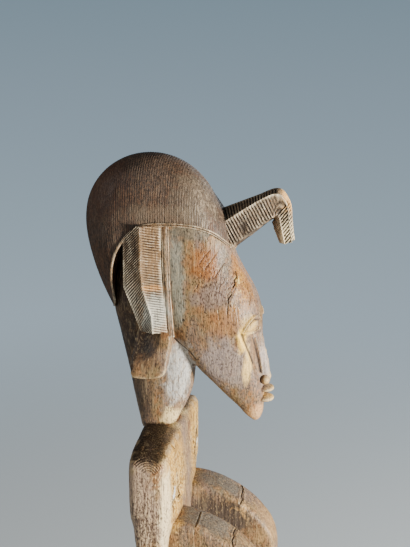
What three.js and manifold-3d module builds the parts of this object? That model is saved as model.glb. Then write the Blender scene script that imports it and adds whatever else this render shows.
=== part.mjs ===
// A seated female figure carved from one log, in the manner of West African shrine carving.
// She sits upright on a round four-legged stool that stands on a low round base, her hands on her knees.
// Her hair is a tall rounded dome with a raised rim. A six-sided plait juts from the forehead and hooks
// down, and two faceted side plaits hang in front of the ears.
// Millimetres, +Z up. The figure faces -Y, and her right side is at -X.
// The origin is the centre of the base's underside.
import * as THREE from "three";
import { mergeVertices } from "three/addons/utils/BufferGeometryUtils.js";
import Module from "manifold-3d";

// Driving dimensions
const LOG_RADIUS = 90; // the log that everything is cut from, and the base's radius
const BASE_THICKNESS = 16;
const SEAT_TOP = 132; // the stool's seat above the floor
const SEAT_THICKNESS = 17;
const SEAT_RADIUS = 55;
const SEAT_FORWARD = -6; // the stool's centre, forward of the neck's centre line
const SHOULDER_TOP = 377.5;
const SHOULDER_HALF = 68; // half the width across the arms
const NECK_BASE = 378.5;
const CHIN = 381;
const DOME_CENTRE = { forward: -7, z: 546 };
const DOME_RADIUS = 54;
const HEAD_HALF = 29; // half the width of the head at the temples
const LOG_CENTRE = 26; // the log's centre line, forward of the neck's

const wasm = await Module();
wasm.setup();

// A point from its place across, its distance forward of the neck and its height
function at(across, forward, z) {
  return new THREE.Vector3(across, LOG_CENTRE - forward, z);
}

// A closed three.js geometry as a manifold-3d solid
function solid(geometry) {
  const sameSpot = 1e-4;
  const plain = geometry.clone();
  plain.deleteAttribute("normal");
  plain.deleteAttribute("uv");
  const merged = mergeVertices(plain, sameSpot);
  const vertProperties = merged.attributes.position.array;
  const triVerts = new Uint32Array(merged.index.array);
  const made = new wasm.Manifold(new wasm.Mesh({ numProp: 3, vertProperties, triVerts }));
  if (made.volume() >= 0) return made;
  for (let i = 0; i < triVerts.length; i += 3)
    [triVerts[i + 1], triVerts[i + 2]] = [triVerts[i + 2], triVerts[i + 1]];
  return new wasm.Manifold(new wasm.Mesh({ numProp: 3, vertProperties, triVerts }));
}

function joined(solids) {
  return solids.reduce((sum, next) => sum.add(next));
}

// The same solid on her other side
function bothSides(made) {
  return made.add(made.mirror([1, 0, 0]));
}

// A value between the rows of a table whose first column rises, smoothed through its neighbours
function smooth(rows, key, column) {
  let i = 0;
  while (i < rows.length - 2 && key > rows[i + 1][0]) i++;
  const t = THREE.MathUtils.clamp((key - rows[i][0]) / (rows[i + 1][0] - rows[i][0]), 0, 1);
  const slope = (j) => {
    const a = rows[Math.max(j - 1, 0)];
    const b = rows[Math.min(j + 1, rows.length - 1)];
    return (b[column] - a[column]) / (b[0] - a[0]);
  };
  const step = rows[i + 1][0] - rows[i][0];
  const [p, q] = [rows[i][column], rows[i + 1][column]];
  const [t2, t3] = [t * t, t * t * t];
  return (
    p * (2 * t3 - 3 * t2 + 1) +
    q * (3 * t2 - 2 * t3) +
    slope(i) * step * (t3 - 2 * t2 + t) +
    slope(i + 1) * step * (t3 - t2)
  );
}

// A point of the unit circle, pushed out towards the square as squareness rises above 2
function squared(c, squareness) {
  const nothing = 1e-9;
  return Math.abs(c) < nothing ? 0 : Math.sign(c) * Math.abs(c) ** (2 / squareness);
}

// A cylinder whose wall is shaped by place(across, out, along): the first two run round the unit circle
// and along goes from 0 to 1. The end caps close on the middle of each end.
function shaped(sides, steps, place) {
  const geometry = new THREE.CylinderGeometry(1, 1, 1, sides, steps);
  const spot = geometry.attributes.position;
  for (let i = 0; i < spot.count; i++) {
    const p = place(spot.getX(i), spot.getZ(i), 0.5 - spot.getY(i));
    spot.setXYZ(i, p.x, p.y, p.z);
  }
  return solid(geometry);
}

// An upright form from rows of height, half width, front, back and squareness
function column(rows, sides, steps) {
  const [low, high] = [rows[0][0], rows.at(-1)[0]];
  return shaped(sides, steps, (u, v, along) => {
    const z = low + (high - low) * along;
    const [half, front, back, squareness] = [1, 2, 3, 4].map((c) => smooth(rows, z, c));
    const middle = (front + back) / 2;
    const forward = middle + ((front - back) / 2) * squared(v, squareness);
    return at(half * squared(u, squareness), forward, z);
  });
}

// A limb along a smooth path. Each station is across, forward, height, half width, half thickness.
// The last share of the path at either end, given by closing, is rounded off to a blunt end.
function limb(stations, { sides, steps, squareness = 2.3, closing = 0.06 }) {
  const blunt = 0.2;
  const path = new THREE.CatmullRomCurve3(stations.map(([x, f, z]) => at(x, f, z)));
  const rows = stations.map((s, i) => [i / (stations.length - 1), s[3], s[4]]);
  return shaped(sides, steps, (u, v, along) => {
    const end = Math.min(along, 1 - along);
    const round = end < closing ? blunt + (1 - blunt) * Math.sqrt(1 - (1 - end / closing) ** 2) : 1;
    const middle = path.getPoint(along);
    const ahead = path.getTangent(along);
    const sideways = new THREE.Vector3(1, 0, 0).addScaledVector(ahead, -ahead.x).normalize();
    const over = new THREE.Vector3().crossVectors(ahead, sideways);
    return middle
      .addScaledVector(sideways, squared(u, squareness) * smooth(rows, along, 1) * round)
      .addScaledVector(over, squared(v, squareness) * smooth(rows, along, 2) * round);
  });
}

// A flat-sided form: corner(i, along) places each of its corners, and along goes from 0 to 1
function faceted(count, steps, corner) {
  return shaped(count, steps, (u, v, along) => {
    const onWall = Math.hypot(u, v) > 0.5;
    if (onWall) {
      const turn = Math.atan2(u, v) / (2 * Math.PI);
      return corner((Math.round(turn * count) + count) % count, along);
    }
    const middle = new THREE.Vector3();
    for (let i = 0; i < count; i++) middle.addScaledVector(corner(i, along), 1 / count);
    return middle;
  });
}

// A profile of radius and height, turned about an upright axis
function turned(profile, sides, forward) {
  const points = profile.map(([r, z]) => new THREE.Vector2(r, z));
  const geometry = new THREE.LatheGeometry(points, sides).rotateX(Math.PI / 2);
  return solid(geometry).translate([0, LOG_CENTRE - forward, 0]);
}

// The low round base
function base() {
  const edge = 3;
  return turned(
    [
      [0, 0],
      [LOG_RADIUS - edge / 2, 0],
      [LOG_RADIUS, edge],
      [LOG_RADIUS, BASE_THICKNESS - edge],
      [LOG_RADIUS - edge, BASE_THICKNESS],
      [0, BASE_THICKNESS],
    ],
    36,
    LOG_CENTRE,
  );
}

// The stool: a thick round seat on four short splayed legs
function stool() {
  const under = SEAT_TOP - SEAT_THICKNESS;
  const edge = 5;
  const seat = turned(
    [
      [0, under],
      [SEAT_RADIUS - edge, under],
      [SEAT_RADIUS, under + edge],
      [SEAT_RADIUS, SEAT_TOP - edge / 2],
      [SEAT_RADIUS - edge / 2, SEAT_TOP],
      [0, SEAT_TOP],
    ],
    32,
    SEAT_FORWARD,
  );
  const legs = [45, 135, 225, 315].map((degrees) => {
    const a = THREE.MathUtils.degToRad(degrees);
    const station = (reach, z, radius) => [
      reach * Math.cos(a),
      SEAT_FORWARD + reach * Math.sin(a),
      z,
      radius,
      radius,
    ];
    return limb(
      [
        station(35, under + 4, 14),
        station(38, 76, 12),
        station(42, 40, 13.5),
        station(44, BASE_THICKNESS - 2, 14.5),
      ],
      { sides: 8, steps: 4, closing: 0 },
    );
  });
  return joined([seat, ...legs]);
}

// The trunk widens from a narrow waist to the squared chest, with a round navel
function trunk() {
  const shape = column(
    [
      [SEAT_TOP - 3, 43, 22, -31, 2.4],
      [150, 46, 25, -33, 2.4],
      [174, 40, 27, -26, 2.3],
      [202, 32, 28, -17, 2.2],
      [230, 29, 23, -14, 2.2],
      [262, 37, 20, -13, 2.8],
      [284, 49, 21, -13, 3.6],
      [305, 56, 21.5, -13, 4.5],
      [335, 57, 21.5, -14, 4.5],
      [358, 56, 20, -14, 3.8],
      [SHOULDER_TOP - 5, 48, 17, -12, 3.4],
    ],
    20,
    12,
  );
  const navelRadius = 6;
  const navel = solid(new THREE.SphereGeometry(navelRadius, 8, 6)).translate(at(0, 26, 200).toArray());
  return shape.add(navel);
}

// The straight board of the shoulders, square at its ends, drooping a little to both sides. It narrows
// below into the arms, and her left shoulder sits further forward and higher.
function yoke() {
  const middle = 346;
  const half = SHOULDER_TOP - middle;
  const [squareness, endSquareness, easeSquareness] = [9, 12, 5];
  const [forward, thinHalf, addedHalf] = [3, 8, 9];
  const [leftForward, leftHigher, droop, narrower] = [1.5, 2.5, 7.5, 0.12];
  return shaped(16, 12, (u, v, along) => {
    const reach = Math.sin(Math.PI * (along - 0.5));
    const corner = (1 - Math.abs(reach) ** endSquareness) ** (1 / endSquareness);
    const ease = (1 - Math.abs(reach) ** easeSquareness) ** (1 / easeSquareness);
    const narrowing = v < 0 ? 1 + narrower * v : 1;
    const thickness = thinHalf * corner + addedHalf * ease;
    return at(
      SHOULDER_HALF * reach * narrowing,
      forward * ease + leftForward * reach + thickness * squared(u, squareness),
      middle + half * corner * squared(v, squareness) + leftHigher * reach - droop * reach ** 2,
    );
  });
}

// An arm hangs straight from the shoulder, bends at the elbow and lies along the thigh, hand on the knee
function arm() {
  const outer = SHOULDER_HALF;
  const upper = limb(
    [
      [outer - 13, 3, 352, 12, 15.5],
      [outer - 12, 2.5, 326, 12, 16],
      [outer - 11.5, 2.5, 292, 11.5, 13],
      [outer - 10, 4, 258, 11, 12],
      [outer - 9, 8, 226, 11.5, 12],
      [outer - 11, 24, 199, 11, 11],
      [outer - 16, 45, 183, 9.5, 9.5],
      [outer - 20, 60, 176, 9, 8],
    ],
    { sides: 10, steps: 14, squareness: 3, closing: 0 },
  );
  const hand = limb(
    [
      [outer - 19, 54, 177, 8, 7],
      [outer - 22, 68, 172.5, 13, 6.5],
      [outer - 23, 84, 169, 12, 6],
      [outer - 23.5, 97, 160, 10, 5],
    ],
    { sides: 10, steps: 6, squareness: 2.6, closing: 0.1 },
  );
  return upper.add(hand);
}

// A leg: thigh along the seat, shin straight down, foot flat on the base
function leg() {
  const thigh = limb(
    [
      [22, -6, 151, 19, 17],
      [30, 34, 150, 19, 17],
      [36, 66, 149, 17, 16],
      [38, 92, 147, 14, 15],
    ],
    { sides: 10, steps: 8, closing: 0.12 },
  );
  const shin = limb(
    [
      [38, 78, 158, 14, 15],
      [38, 76, 128, 14.5, 15.5],
      [38, 69, 94, 15, 18],
      [37, 71, 54, 10.5, 12],
      [37, 71, 28, 10.5, 12],
      [37, 71, BASE_THICKNESS - 2, 10, 12],
    ],
    { sides: 10, steps: 8, squareness: 2.2 },
  );
  const foot = limb(
    [
      [37, 58, 23, 10, 8.5],
      [37.5, 72, 24, 11, 9.5],
      [38.5, 90, 21, 14, 7],
      [39, 108, 19, 12, 4.5],
    ],
    { sides: 10, steps: 6, squareness: 2.8, closing: 0.1 },
  );
  return joined([thigh, shin, foot]);
}

// A long breast curves out from the chest and hangs; its top is flat with an edge on either side
function breast() {
  const shape = limb(
    [
      [34, 4, 291, 17, 15],
      [34, 20, 292, 17, 16],
      [34, 34, 289, 16.5, 16.5],
      [34, 48, 283.5, 16.5, 16.5],
      [34, 61, 275.5, 16.5, 16],
      [34, 71, 266.5, 16, 15.5],
      [34, 77.5, 257.5, 15, 15.5],
      [34, 82, 245, 13.5, 14],
      [34, 84, 232, 11, 12],
      [34, 84, 220, 8, 8.5],
    ],
    { sides: 16, steps: 11, squareness: 6, closing: 0.09 },
  );
  const nipple = limb(
    [
      [34, 84, 224, 4.5, 4.5],
      [34, 84, 210, 3.5, 3.5],
    ],
    { sides: 8, steps: 3, squareness: 2, closing: 0.3 },
  );
  return shape.add(nipple);
}

// The neck flares upward into the back of the head
function neck() {
  return column(
    [
      [NECK_BASE - 8, 13.9, 12.5, -17.2, 2.8],
      [NECK_BASE, 14.8, 14, -18.5, 2.8],
      [403, 17.5, 25, -23.5, 2.6],
      [428, 19, 28.5, -28, 2.5],
      [452, 21, 32, -33, 2.5],
      [478, 24, 34, -38, 2.5],
      [505, 26, 34, -36, 2.5],
      [540, 22, 28, -24, 2.3],
    ],
    20,
    8,
  );
}

// The head behind the face and under the hair
function skull() {
  const [half, deep, tall] = [25.5, 44, 58];
  return solid(new THREE.SphereGeometry(1, 12, 8))
    .scale([half, deep, tall])
    .translate(at(0, 6, 506).toArray());
}

// The face is a long wedge that juts forward: height, half width, front, back, squareness
function face() {
  return column(
    [
      [CHIN, 3, 81, 76.5, 2],
      [387, 8, 84, 70, 2.3],
      [396, 11, 85, 62, 2.5],
      [413, 16, 85, 45, 2.8],
      [430, 20, 83.5, 28.5, 3],
      [447, 24, 82.5, 14, 3],
      [458, 26, 83, 8, 2.9],
      [475, 28, 82, -4, 2.7],
      [490, HEAD_HALF, 78, -12, 2.5],
      [508, HEAD_HALF, 68, -18, 2.4],
      [524, 28.5, 60, -18, 2.5],
      [535, 28, 56.5, -17, 2.8],
      [545, 27, 50, -14, 3],
      [553, 25, 42, -12, 3],
    ],
    22,
    14,
  );
}

// A flat-sided hollow cut under each eye, so that a ridge bounds the cheek and the nose stands free
function cheekHollow() {
  const clear = 96; // forward of the whole face
  const floor = [
    [27, 67.5, 458],
    [5, 76.5, 466],
    [9, 82.8, 411],
    [5.5, 83, 411],
  ];
  const corners = floor.flatMap(([across, forward, z]) => [at(across, forward, z), at(across, clear, z)]);
  return wasm.Manifold.hull(corners.map((corner) => corner.toArray()));
}

// A narrow eye, closed to a slit, that slants down towards the ear
function eye() {
  const [long, high, proud] = [9.5, 5, 3.4];
  return solid(new THREE.SphereGeometry(1, 14, 8))
    .scale([proud, long, high])
    .rotate([-40, 0, 38])
    .translate(at(-15.8, 75.3, 467.5).toArray());
}

// A long thin nose with small round wings, and two lips like stacked discs
function noseAndLips() {
  const nose = limb(
    [
      [0, 76, 470, 3, 5],
      [0, 79, 450, 3, 6],
      [0, 82, 432, 4, 7],
      [0, 84, 418, 5.5, 7],
    ],
    { sides: 12, steps: 8, squareness: 2.2, closing: 0.08 },
  );
  const wingRadius = 4;
  const wing = solid(new THREE.SphereGeometry(wingRadius, 10, 8)).translate(at(4.5, 86.5, 418.5).toArray());
  const [lipRadius, lipHeight] = [8, 5];
  const lips = [410, 401.5].map((z) =>
    solid(new THREE.CylinderGeometry(lipRadius, lipRadius, lipHeight, 12).rotateX(Math.PI / 2))
      .translate(at(0, 85, z).toArray()),
  );
  return joined([nose, bothSides(wing), ...lips]);
}

// The dome of hair, cut in upright slices from the nape to the forehead.
// Each row is the slice's forward place, the rim's height at the side, and the half width there.
const DOME_SLICES = [
  [-61, 475, 3],
  [-57.5, 477, 12],
  [-51, 484, 20],
  [-42.5, 506, 26],
  [-33, 524, 28.5],
  [-21, 538, 30],
  [-8, 547, 30.5],
  [10, 549, 30.5],
  [30, 548, 29],
  [45, 543, 24.5],
  [53, 535.5, 18],
  [56.5, 529.5, 10],
  [58.5, 526.5, 4],
];

// The dome's outline from the side: a circle with a straighter run down to the forehead
function domeTop(forward) {
  const reach = Math.min(Math.abs(forward - DOME_CENTRE.forward), DOME_RADIUS);
  const circle = DOME_CENTRE.z + Math.sqrt(DOME_RADIUS ** 2 - reach ** 2);
  const run = { from: 36, through: [49.5, 559], fall: 1.36 };
  const height = run.through[1] - (forward - run.through[0]) * run.fall;
  return forward > run.from ? Math.max(circle, height) : circle;
}

// Below the centre the back of the dome leans in towards the nape
function napeLean(z) {
  const [napeIn, napeDrop, curve] = [22, 71, 1.7];
  return z < DOME_CENTRE.z ? napeIn * ((DOME_CENTRE.z - z) / napeDrop) ** curve : 0;
}

function dome() {
  const [back, front] = [DOME_SLICES[0][0], DOME_SLICES.at(-1)[0]];
  const squareness = 2.3;
  return shaped(22, 16, (u, v, along) => {
    const ease = 0.5 - Math.cos(Math.PI * along) / 2;
    const slice = back + (front - back) * ease;
    const rim = smooth(DOME_SLICES, slice, 1);
    const half = smooth(DOME_SLICES, slice, 2);
    const top = Math.max(domeTop(slice), rim + 1);
    const underside = half / 8;
    const z = rim + (v > 0 ? (top - rim) * squared(v, squareness) : underside * v);
    return at(half * squared(u, squareness), slice + napeLean(z), z);
  });
}

// A raised ridge follows the hair's lower edge
function rim() {
  const [ridgeRadius, sunk] = [1.2, 0.4];
  const points = DOME_SLICES.slice(1).map(([slice, z, half]) =>
    at(sunk - half, slice + napeLean(z), z),
  );
  const path = new THREE.CatmullRomCurve3(points);
  const ridge = new THREE.Shape().absarc(0, 0, ridgeRadius, 0, 2 * Math.PI);
  const geometry = new THREE.ExtrudeGeometry(ridge, { extrudePath: path, steps: 16, curveSegments: 2 });
  return bothSides(solid(geometry));
}

// The six-sided plait juts up and forward from the forehead, then hooks straight down.
// Each row is a place on its upper ridge, the place across from it on its underside, the half width,
// and how far down from the ridge the upper and the lower side edges lie.
const FRONT_PLAIT = [
  [30, 549.3, 49.3, 516.7, 12, 0.3, 0.88],
  [51, 558.2, 66.8, 531, 11.8, 0.28, 0.88],
  [80, 570, 90.5, 550.5, 11, 0.14, 0.88],
  [90, 574.3, 90.8, 550.2, 10.5, 0.12, 0.86],
  [96, 574, 90.8, 549.8, 10, 0.12, 0.8],
  [100.2, 569.5, 90, 549.3, 9.8, 0.12, 0.7],
  [103.5, 562.5, 89, 548.6, 9.5, 0.12, 0.6],
  [104.7, 553, 88.6, 547.2, 9.5, 0.12, 0.54],
  [105.6, 544, 92, 539, 9.2, 0.12, 0.56],
  [107, 534.5, 95.1, 531.4, 9, 0.12, 0.6],
];

function frontPlait() {
  const steps = FRONT_PLAIT.length - 1;
  return faceted(6, steps, (i, along) => {
    const [f0, z0, f1, z1, half, upper, lower] = FRONT_PLAIT[Math.round(along * steps)];
    const down = [0, upper, lower, 1, lower, upper][i];
    const across = half * [0, 1, 1, 0, -1, -1][i];
    return at(across, THREE.MathUtils.lerp(f0, f1, down), THREE.MathUtils.lerp(z0, z1, down));
  });
}

// A flat faceted plait hangs at each side of the face, ridged down its middle and bent in below.
// Each row is a height, then the forward place of the back edge, the ridge and the front edge.
const SIDE_PLAIT = [
  [463, -10, 1, 11.5],
  [477, -15, 0, 10.5],
  [498, -23, -6.5, 8],
  [515, -23, -8, 7],
  [532, -22.5, -8, 7],
  [540, -15, -8, 7],
  [547.8, -8.5, -8, 7],
];

function sidePlait() {
  const [inside, edge, ridge] = [10, 30.5, 36];
  const steps = SIDE_PLAIT.length - 1;
  return faceted(5, steps, (i, along) => {
    const [z, back, middle, front] = SIDE_PLAIT[Math.round(along * steps)];
    const forward = [middle, front, front, back, back][i];
    const across = [ridge, edge, inside, inside, edge][i];
    return at(-across, forward, z);
  });
}

// An ear like a cupped flake below the plait, flaring outward to its lobe and hollowed from behind
function ear() {
  const outline = new THREE.Shape();
  outline.moveTo(-13, 466);
  outline.quadraticCurveTo(-18, 450, -18, 437);
  outline.lineTo(-18, 429);
  outline.lineTo(-16.5, 425.3);
  outline.lineTo(-9, 424.3);
  outline.quadraticCurveTo(5, 425, 10.2, 429.3);
  outline.lineTo(12.5, 444);
  outline.lineTo(14.2, 458);
  outline.lineTo(14.2, 466);
  const [top, flare, inside, outside] = [463, 0.2, 14, 30];
  const geometry = new THREE.ExtrudeGeometry(outline, {
    depth: outside - inside,
    bevelEnabled: false,
    curveSegments: 4,
  });
  const spot = geometry.attributes.position;
  for (let i = 0; i < spot.count; i++) {
    const [forward, z, out] = [spot.getX(i), spot.getY(i), spot.getZ(i)];
    const p = at(-inside - out - flare * (top - z), forward, z);
    spot.setXYZ(i, p.x, p.y, p.z);
  }
  const hollow = solid(new THREE.SphereGeometry(1, 12, 8))
    .scale([14, 23, 26])
    .rotate([12, 11, 0])
    .translate(at(-38, -13.5, 461).toArray());
  return solid(geometry).subtract(hollow);
}

const carved = joined([
  base(),
  stool(),
  trunk(),
  yoke(),
  bothSides(arm()),
  bothSides(leg()),
  bothSides(breast()),
  neck(),
  skull(),
  face().subtract(bothSides(cheekHollow())),
  bothSides(eye()),
  noseAndLips(),
  dome(),
  rim(),
  frontPlait(),
  bothSides(sidePlait()),
  bothSides(ear()),
]);

// The carved solid as a three.js mesh
function meshOf(made, name, material) {
  const { numProp, vertProperties, triVerts } = made.getMesh();
  const points = new Float32Array((vertProperties.length / numProp) * 3);
  for (let i = 0; i < points.length / 3; i++)
    points.set(vertProperties.subarray(i * numProp, i * numProp + 3), i * 3);
  const geometry = new THREE.BufferGeometry()
    .setAttribute("position", new THREE.BufferAttribute(points, 3))
    .setIndex(new THREE.BufferAttribute(triVerts, 1));
  const mesh = new THREE.Mesh(geometry, material);
  mesh.name = name;
  return mesh;
}

const oiledHardwood = new THREE.MeshStandardMaterial({ color: 0x7a5a42, roughness: 0.5, metalness: 0 });

const figure = new THREE.Group();
figure.add(meshOf(carved, "seated_figure", oiledHardwood));
export default figure;
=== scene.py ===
import math

import bmesh
import bpy
import numpy as np
from mathutils import Matrix, Vector, noise
from mathutils.bvhtree import BVHTree


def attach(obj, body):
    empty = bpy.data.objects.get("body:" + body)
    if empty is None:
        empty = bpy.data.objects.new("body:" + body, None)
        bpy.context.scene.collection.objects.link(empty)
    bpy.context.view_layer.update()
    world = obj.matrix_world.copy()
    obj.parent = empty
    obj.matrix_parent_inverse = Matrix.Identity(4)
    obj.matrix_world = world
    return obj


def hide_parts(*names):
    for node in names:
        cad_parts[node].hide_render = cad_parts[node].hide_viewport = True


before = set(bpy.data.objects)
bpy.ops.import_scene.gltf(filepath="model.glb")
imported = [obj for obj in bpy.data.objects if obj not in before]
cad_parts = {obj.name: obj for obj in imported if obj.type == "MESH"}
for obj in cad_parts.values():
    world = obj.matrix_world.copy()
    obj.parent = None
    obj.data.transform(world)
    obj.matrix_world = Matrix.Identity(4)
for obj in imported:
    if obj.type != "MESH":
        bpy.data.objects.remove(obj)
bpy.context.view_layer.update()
scene = bpy.context.scene

MM = 0.001
LOG_CENTRE = 26  # the log's centre line, forward of the neck's
LOG_RADIUS = 90
BASE_THICKNESS = 16
SEAT_TOP = 132
SEAT_THICKNESS = 17
SEAT_RADIUS = 55
SEAT_FORWARD = -6
SHOULDER_TOP = 377.5
SHOULDER_HALF = 68
NECK_BASE = 378.5
CHIN = 381
DOME_FORWARD = -7
DOME_CENTRE = 546
DOME_RADIUS = 54

AIM = Vector((0, -0.01014, 0.50394))  # what the camera looks at
VIEW_AZIMUTH, VIEW_ELEVATION, VIEW_DISTANCE = 280, 15, 0.6936

HAIR_LINE_SPACING = 1.85  # between the incised lines of the dome
PLAIT_LINE_SPACING = 2.05  # between the cuts across the plaits
BODY_GRAIN = 3.3  # the remeshing step of trunk and arms
HEAD_GRAIN = 1.95  # the remeshing step of the head

HAIR, PLAIT = 1, 2  # the material slots of two finishes; all the rest is skin, in slot 0
VERTEX_NOTES = ("turn", "run", "cut")  # round a tube, along it, and how deep the knife has cut, in mm


# Camera, lights and floor

def viewpoint():
    """Where the camera stands. Azimuth 0 looks along +Y and 90 along -X."""
    turn, tilt = math.radians(VIEW_AZIMUTH), math.radians(VIEW_ELEVATION)
    level = math.cos(tilt)
    sight = Vector((-math.sin(turn) * level, math.cos(turn) * level, -math.sin(tilt)))
    return AIM - sight * VIEW_DISTANCE


def aimed(name, data, place, aim):
    """A camera or a lamp at its place, turned towards what it is aimed at."""
    holder = bpy.data.objects.new(name, data)
    holder.location = place
    holder.rotation_euler = (Vector(aim) - holder.location).to_track_quat("-Z", "Y").to_euler()
    scene.collection.objects.link(holder)
    return holder


def add_camera():
    lens = bpy.data.cameras.new("camera")
    lens.lens = 57.06
    lens.sensor_width = 36
    lens.clip_start = 0.02
    scene.camera = aimed("camera", lens, viewpoint(), AIM)


def add_light(name, place, aim, size, power, colour):
    lamp = bpy.data.lights.new(name, "AREA")
    lamp.shape = "DISK"
    lamp.size = size
    lamp.energy = power
    lamp.color = colour
    aimed(name, lamp, place, aim).visible_camera = False


def linear(hexcode):
    """A colour such as "8A6B4F" as the linear values that the shader takes."""
    parts = [int(hexcode[i:i + 2], 16) / 255 for i in (0, 2, 4)]
    return [p / 12.92 if p <= 0.04045 else ((p + 0.055) / 1.055) ** 2.4 for p in parts] + [1]


# Shapes: every part is a bmesh tube or ball whose vertices are then moved to their place

def at(across, forward, z):
    """Points in the frame, in metres, from mm across, forward of the neck and up."""
    across, forward, z = np.broadcast_arrays(across, forward, z)
    return np.stack([across, LOG_CENTRE - forward, z], axis=-1) * MM


def through(rows, keys, field):
    """Smooth values between a table's rows, which rise in their first field."""
    table = np.array(rows, dtype=float)
    marks, values = table[:, 0], table[:, field]
    last = len(marks) - 1
    steps = np.arange(len(marks))
    before, after = np.maximum(steps - 1, 0), np.minimum(steps + 1, last)
    slopes = (values[after] - values[before]) / (marks[after] - marks[before])
    keys = np.asarray(keys, dtype=float)
    i = np.clip(np.searchsorted(marks, keys, side="right") - 1, 0, last - 1)
    gap = marks[i + 1] - marks[i]
    t = np.clip((keys - marks[i]) / gap, 0, 1)
    return (
        values[i] * (2 * t**3 - 3 * t**2 + 1)
        + values[i + 1] * (3 * t**2 - 2 * t**3)
        + slopes[i] * gap * (t**3 - 2 * t**2 + t)
        + slopes[i + 1] * gap * (t**3 - t**2)
    )


def running(steps):
    """The running total of the steps, from 0."""
    return np.concatenate([[0], np.cumsum(steps)])


def squared(c, squareness):
    """A circle's sine or cosine, pushed out towards the square as squareness rises above 2."""
    return np.sign(c) * np.abs(c) ** (2 / squareness)


def ring(turn):
    """Once round the unit circle, starting at the side away from +v, where the seam hides."""
    angle = 2 * np.pi * turn - np.pi / 2
    return np.cos(angle), np.sin(angle)


def noted(bm):
    """The bmesh with any of the vertex notes that it lacks."""
    for note in VERTEX_NOTES:
        if note not in bm.verts.layers.float:
            bm.verts.layers.float.new(note)
    return bm


def started():
    return noted(bmesh.new())


def tube(around, along, place):
    """A closed tube. place(turn, run) gives its points; turn goes once round and run from end to end."""
    bm = started()
    turn_layer = bm.verts.layers.float["turn"]
    run_layer = bm.verts.layers.float["run"]
    bmesh.ops.create_grid(bm, x_segments=around, y_segments=along, size=0.5)
    flat = np.array([v.co[:2] for v in bm.verts]) + 0.5
    for v, (turn, run), point in zip(bm.verts, flat, place(flat[:, 0], flat[:, 1])):
        v[turn_layer], v[run_layer] = turn, run
        v.co = point
    bmesh.ops.remove_doubles(bm, verts=bm.verts, dist=1e-6)
    bmesh.ops.holes_fill(bm, edges=bm.edges, sides=0)
    bmesh.ops.recalc_face_normals(bm, faces=bm.faces)
    return bm


def places(verts):
    return np.array([v.co[:] for v in verts])


def carve(bm, depth):
    """Cuts inward along the surface by depth(turn, run, points) mm, and notes how deep each cut is."""
    turn_layer, run_layer, cut_layer = (bm.verts.layers.float[note] for note in VERTEX_NOTES)
    bm.normal_update()
    turn = np.array([v[turn_layer] for v in bm.verts])
    run = np.array([v[run_layer] for v in bm.verts])
    for v, down in zip(bm.verts, depth(turn, run, places(bm.verts))):
        v.co -= v.normal * (down * MM)
        v[cut_layer] += down
    return bm


def mirrored(bm):
    """The same shape on her other side."""
    twin = bm.copy()
    bmesh.ops.scale(twin, vec=(-1, 1, 1), verts=twin.verts)
    bmesh.ops.reverse_faces(twin, faces=twin.faces)
    return twin


def both_sides(bm):
    return [bm, mirrored(bm)]


def column(rows, around, along):
    """An upright form from rows of height, half width, front, back and squareness."""
    low, high = rows[0][0], rows[-1][0]

    def place(turn, run):
        u, v = ring(turn)
        z = low + (high - low) * run
        half, front, back, squareness = (through(rows, z, c) for c in (1, 2, 3, 4))
        return at(
            half * squared(u, squareness),
            (front + back) / 2 + (front - back) / 2 * squared(v, squareness),
            z,
        )

    return tube(around, along, place)


def limb(stations, around, along, squareness=2.3, closing=0.06):
    """A limb along a smooth path. Each station is across, forward, height, half width, half thickness.
    Either end is rounded off over the share of the path that closing gives."""
    stations = np.array(stations, dtype=float)
    rows = np.column_stack([np.linspace(0, 1, len(stations)), stations])
    nudge, blunt = 1e-3, 0.2

    def middle(run):
        return at(*(through(rows, run, c) for c in (1, 2, 3)))

    def place(turn, run):
        u, v = ring(turn)
        ahead = middle(np.minimum(run + nudge, 1)) - middle(np.maximum(run - nudge, 0))
        ahead /= np.linalg.norm(ahead, axis=1, keepdims=True)
        sideways = np.array([1.0, 0, 0]) - ahead * ahead[:, :1]
        sideways /= np.linalg.norm(sideways, axis=1, keepdims=True)
        over = np.cross(ahead, sideways)
        inside = np.clip(1 - np.minimum(run, 1 - run) / max(closing, 1e-6), 0, 1)
        rounding = blunt + (1 - blunt) * np.sqrt(1 - inside**2) if closing else np.ones_like(run)
        wide = squared(u, squareness) * through(rows, run, 4) * rounding * MM
        thick = squared(v, squareness) * through(rows, run, 5) * rounding * MM
        return middle(run) + sideways * wide[:, None] + over * thick[:, None]

    return tube(around, along, place)


def turned(profile, sides, forward):
    """A profile of radius and height, spun upright. Rings beside each corner keep its wear to the edge."""
    bm = started()
    edge_width, shortest = 1.6, 4.8
    ringed = [profile[0]]
    for start, end in zip(profile, profile[1:]):
        length = math.dist(start, end)
        if length > shortest:
            for share in (edge_width / length, 1 - edge_width / length):
                ringed.append(tuple(a + (b - a) * share for a, b in zip(start, end)))
        ringed.append(end)
    verts = [bm.verts.new(at(r, forward, z)) for r, z in ringed]
    edges = [bm.edges.new(pair) for pair in zip(verts, verts[1:])]
    axis = dict(cent=at(0, forward, 0), axis=(0, 0, 1))
    bmesh.ops.spin(
        bm, geom=verts + edges, angle=2 * math.pi, steps=sides, use_merge=True, **axis
    )
    bmesh.ops.remove_doubles(bm, verts=bm.verts, dist=1e-6)
    bmesh.ops.recalc_face_normals(bm, faces=bm.faces)
    return bm


def ball(segments, half_size, middle, tilt=(0, 0, 0)):
    """An egg-shaped ball; half_size is across, forward and up, and tilt turns it about X, Y and Z."""
    bm = started()
    bmesh.ops.create_uvsphere(bm, u_segments=segments, v_segments=segments // 2, radius=MM)
    bmesh.ops.scale(bm, vec=half_size, verts=bm.verts)
    for axis, degrees in zip("XYZ", tilt):
        turn = Matrix.Rotation(math.radians(degrees), 3, axis)
        bmesh.ops.rotate(bm, cent=(0, 0, 0), matrix=turn, verts=bm.verts)
    bmesh.ops.translate(bm, vec=at(*middle), verts=bm.verts)
    return bm


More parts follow.
